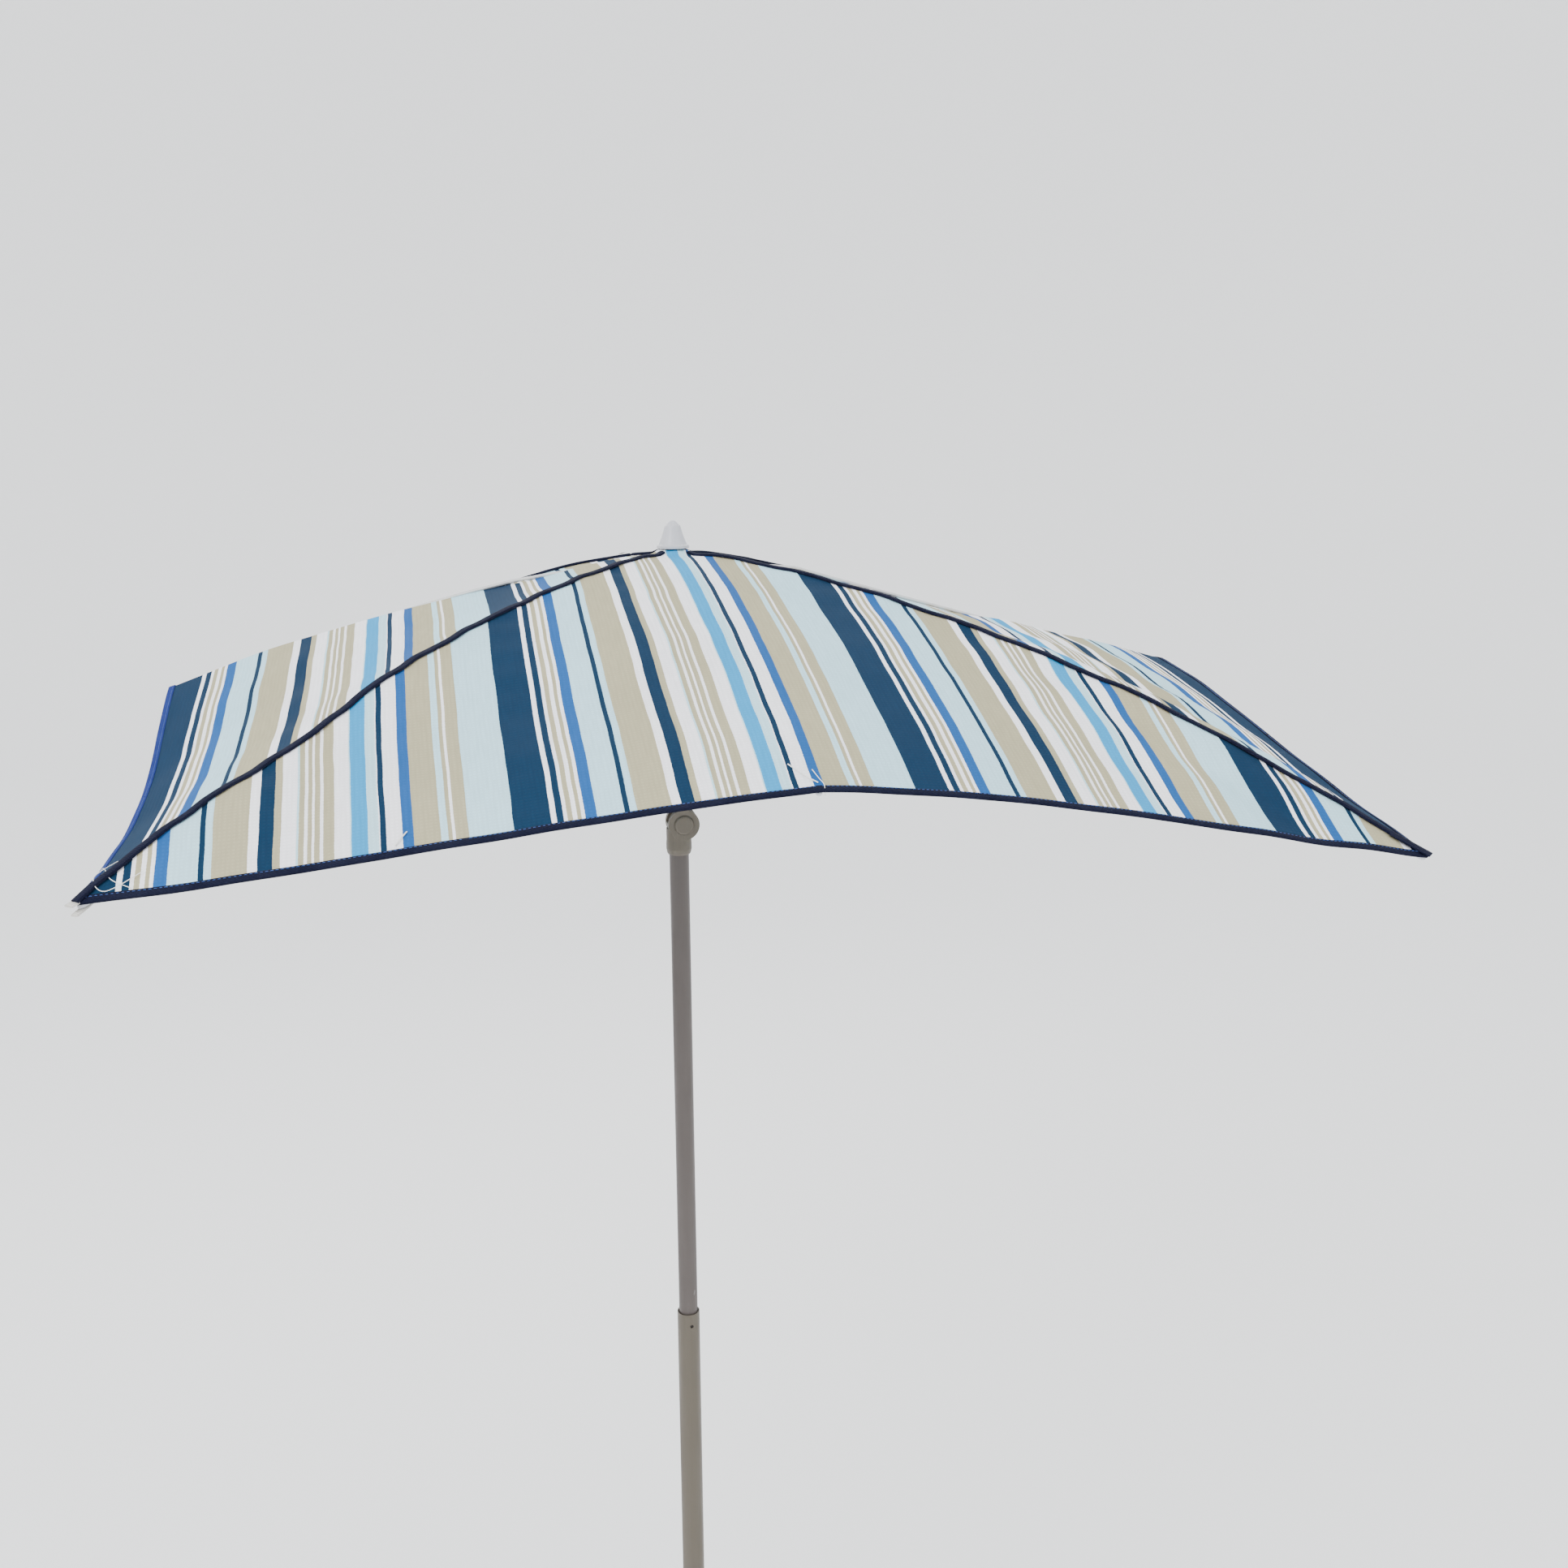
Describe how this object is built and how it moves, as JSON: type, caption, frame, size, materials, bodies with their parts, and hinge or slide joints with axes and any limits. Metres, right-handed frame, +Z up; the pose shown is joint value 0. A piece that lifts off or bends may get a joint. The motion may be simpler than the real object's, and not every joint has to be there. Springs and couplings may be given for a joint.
{
  "type": "beach umbrella",
  "caption": "Square beach umbrella: striped fabric canopy on folding ribs, sliding runner with catch, push-button tilt joint and telescopic pole.",
  "frame": {"origin": "centre of the flat foot of the pole", "axes": "+Z up the pole; +X to the right, the way the canopy leans when tilted; +Y to the back; the viewer looks along +Y"},
  "size_m": [1.2504, 1.2504, 2],
  "materials": {
    "canopy_fabric": "woven, striped blue, white and taupe with navy binding",
    "white_plastic": "satin moulded",
    "coated_steel": "light grey coating",
    "tube_paint": "taupe-grey satin paint",
    "lower_tube_paint": "beige-taupe satin paint",
    "taupe_plastic": "moulded, slightly worn",
    "zinc_steel": "zinc plated"
  },
  "bodies": {
    "lower_tube": {"lower_pole": "lower_tube_paint", "pole_foot_plug": "taupe_plastic"},
    "middle_tube": {"middle_pole": "tube_paint", "knuckle_lower": "taupe_plastic", "tilt_pin": "zinc_steel", "tilt_spring": "zinc_steel", "snap_spring": "zinc_steel"},
    "snap_button": {"snap_button": "zinc_steel"},
    "tilt_button": {"tilt_button": "taupe_plastic"},
    "head": {"knuckle_upper": "taupe_plastic", "upper_pole": "tube_paint", "hub": "white_plastic", "hub_ring": "zinc_steel", "finial": "white_plastic", "catch_spring": "zinc_steel"},
    "runner_catch": {"runner_catch": "zinc_steel"},
    "runner": {"runner": "white_plastic", "runner_ring": "zinc_steel"},
    "rib_back_right": {"rib_back_right": "coated_steel", "rib_tip_back_right": "white_plastic", "canopy_back_right": "canopy_fabric", "stretcher_pin_back_right": "zinc_steel"},
    "stretcher_back_right": {"stretcher_back_right": "coated_steel"},
    "rib_right": {"rib_right": "coated_steel", "rib_tip_right": "white_plastic", "canopy_right": "canopy_fabric", "stretcher_pin_right": "zinc_steel"},
    "stretcher_right": {"stretcher_right": "coated_steel"},
    "rib_back": {"rib_back": "coated_steel", "rib_tip_back": "white_plastic", "canopy_back": "canopy_fabric", "stretcher_pin_back": "zinc_steel"},
    "stretcher_back": {"stretcher_back": "coated_steel"},
    "rib_back_left": {"rib_back_left": "coated_steel", "rib_tip_back_left": "white_plastic", "canopy_back_left": "canopy_fabric", "stretcher_pin_back_left": "zinc_steel"},
    "stretcher_back_left": {"stretcher_back_left": "coated_steel"},
    "rib_left": {"rib_left": "coated_steel", "rib_tip_left": "white_plastic", "canopy_left": "canopy_fabric", "stretcher_pin_left": "zinc_steel"},
    "stretcher_left": {"stretcher_left": "coated_steel"},
    "rib_front_left": {"rib_front_left": "coated_steel", "rib_tip_front_left": "white_plastic", "canopy_front_left": "canopy_fabric", "stretcher_pin_front_left": "zinc_steel"},
    "stretcher_front_left": {"stretcher_front_left": "coated_steel"},
    "rib_front": {"rib_front": "coated_steel", "rib_tip_front": "white_plastic", "canopy_front": "canopy_fabric", "stretcher_pin_front": "zinc_steel"},
    "stretcher_front": {"stretcher_front": "coated_steel"},
    "rib_front_right": {"rib_front_right": "coated_steel", "rib_tip_front_right": "white_plastic", "canopy_front_right": "canopy_fabric", "stretcher_pin_front_right": "zinc_steel"},
    "stretcher_front_right": {"stretcher_front_right": "coated_steel"}
  },
  "joints": [
    {"name": "pole_height", "type": "slide", "parent": "lower_tube", "child": "middle_tube", "axis": [0, 0, 1], "range_m": [-0.45, 0], "deforming": ["snap_button"]},
    {"name": "snap_button_press", "type": "slide", "parent": "middle_tube", "child": "snap_button", "axis": [0.1392, -0.9903, 0], "range_m": [-0.0026, 0], "stiffness_N_per_m": 600, "springref_m": 0.002, "deforming": ["snap_spring"]},
    {"name": "tilt_button_press", "type": "slide", "parent": "middle_tube", "child": "tilt_button", "axis": [0, 1, 0], "range_m": [0, 0.0022], "stiffness_N_per_m": 800, "springref_m": -0.002, "deforming": ["tilt_spring"]},
    {"name": "tilt", "type": "hinge", "parent": "middle_tube", "child": "head", "pos_m": [0.005, 0, 1.6189], "axis": [0, -1, 0], "range_deg": [-40, 0]},
    {"name": "catch_press", "type": "slide", "parent": "head", "child": "runner_catch", "axis": [-0.866, 0.5, 0], "range_m": [-0.0032, 0], "stiffness_N_per_m": 500, "springref_m": 0.002, "deforming": ["catch_spring"]},
    {"name": "fold", "type": "hinge", "parent": "head", "child": "rib_back_right", "pos_m": [0.01444, 0.01384, 1.9495], "axis": [-0.692, 0.7219, 0], "range_deg": [0, 72], "deforming": ["canopy_right", "canopy_back_right", "canopy_back", "canopy_back_left", "canopy_left", "canopy_front_left", "canopy_front", "canopy_front_right", "runner_catch"]},
    {"name": "stretcher_back_right_turn", "type": "hinge", "parent": "rib_back_right", "child": "stretcher_back_right", "pos_m": [0.10146, 0.09726, 1.93072], "axis": [-0.692, 0.7219, 0], "range_deg": [-144, 0]},
    {"name": "runner_travel", "type": "hinge", "parent": "stretcher_back_right", "child": "runner", "pos_m": [0.01444, 0.01384, 1.91195], "axis": [-0.692, 0.7219, 0], "range_deg": [0, 72]},
    {"name": "rib_right_fold", "type": "hinge", "parent": "head", "child": "rib_right", "pos_m": [0.02, 0, 1.9495], "axis": [0, 1, 0], "range_deg": [0, 72]},
    {"name": "stretcher_right_turn", "type": "hinge", "parent": "rib_right", "child": "stretcher_right", "pos_m": [0.14055, 0, 1.93072], "axis": [0, 1, 0], "range_deg": [-144, 0]},
    {"name": "rib_back_fold", "type": "hinge", "parent": "head", "child": "rib_back", "pos_m": [0.00058, 0.01999, 1.9495], "axis": [-0.9996, 0.0288, 0], "range_deg": [0, 72]},
    {"name": "stretcher_back_turn", "type": "hinge", "parent": "rib_back", "child": "stretcher_back", "pos_m": [0.00405, 0.14049, 1.93072], "axis": [-0.9996, 0.0288, 0], "range_deg": [-144, 0]},
    {"name": "rib_back_left_fold", "type": "hinge", "parent": "head", "child": "rib_back_left", "pos_m": [-0.01383, 0.01445, 1.9495], "axis": [-0.7225, -0.6913, 0], "range_deg": [0, 72]},
    {"name": "stretcher_back_left_turn", "type": "hinge", "parent": "rib_back_left", "child": "stretcher_back_left", "pos_m": [-0.09716, 0.10155, 1.93072], "axis": [-0.7225, -0.6913, 0], "range_deg": [-144, 0]},
    {"name": "rib_left_fold", "type": "hinge", "parent": "head", "child": "rib_left", "pos_m": [-0.02, 0, 1.9495], "axis": [0, -1, 0], "range_deg": [0, 72]},
    {"name": "stretcher_left_turn", "type": "hinge", "parent": "rib_left", "child": "stretcher_left", "pos_m": [-0.14055, 0, 1.93072], "axis": [0, -1, 0], "range_deg": [-144, 0]},
    {"name": "rib_front_left_fold", "type": "hinge", "parent": "head", "child": "rib_front_left", "pos_m": [-0.01383, -0.01445, 1.9495], "axis": [0.7225, -0.6913, 0], "range_deg": [0, 72]},
    {"name": "stretcher_front_left_turn", "type": "hinge", "parent": "rib_front_left", "child": "stretcher_front_left", "pos_m": [-0.09716, -0.10155, 1.93072], "axis": [0.7225, -0.6913, 0], "range_deg": [-144, 0]},
    {"name": "rib_front_fold", "type": "hinge", "parent": "head", "child": "rib_front", "pos_m": [0.00115, -0.01997, 1.9495], "axis": [0.9983, 0.0575, 0], "range_deg": [0, 72]},
    {"name": "stretcher_front_turn", "type": "hinge", "parent": "rib_front", "child": "stretcher_front", "pos_m": [0.00808, -0.14031, 1.93072], "axis": [0.9983, 0.0575, 0], "range_deg": [-144, 0]},
    {"name": "rib_front_right_fold", "type": "hinge", "parent": "head", "child": "rib_front_right", "pos_m": [0.01444, -0.01384, 1.9495], "axis": [0.692, 0.7219, 0], "range_deg": [0, 72]},
    {"name": "stretcher_front_right_turn", "type": "hinge", "parent": "rib_front_right", "child": "stretcher_front_right", "pos_m": [0.10146, -0.09726, 1.93072], "axis": [0.692, 0.7219, 0], "range_deg": [-144, 0]}
  ],
  "couplings": [
    {"joint": "stretcher_back_right_turn", "follows": "fold", "ratio": -2},
    {"joint": "runner_travel", "follows": "fold", "ratio": 1},
    {"joint": "rib_right_fold", "follows": "fold", "ratio": 1},
    {"joint": "stretcher_right_turn", "follows": "fold", "ratio": -2},
    {"joint": "rib_back_fold", "follows": "fold", "ratio": 1},
    {"joint": "stretcher_back_turn", "follows": "fold", "ratio": -2},
    {"joint": "rib_back_left_fold", "follows": "fold", "ratio": 1},
    {"joint": "stretcher_back_left_turn", "follows": "fold", "ratio": -2},
    {"joint": "rib_left_fold", "follows": "fold", "ratio": 1},
    {"joint": "stretcher_left_turn", "follows": "fold", "ratio": -2},
    {"joint": "rib_front_left_fold", "follows": "fold", "ratio": 1},
    {"joint": "stretcher_front_left_turn", "follows": "fold", "ratio": -2},
    {"joint": "rib_front_fold", "follows": "fold", "ratio": 1},
    {"joint": "stretcher_front_turn", "follows": "fold", "ratio": -2},
    {"joint": "rib_front_right_fold", "follows": "fold", "ratio": 1},
    {"joint": "stretcher_front_right_turn", "follows": "fold", "ratio": -2}
  ]
}
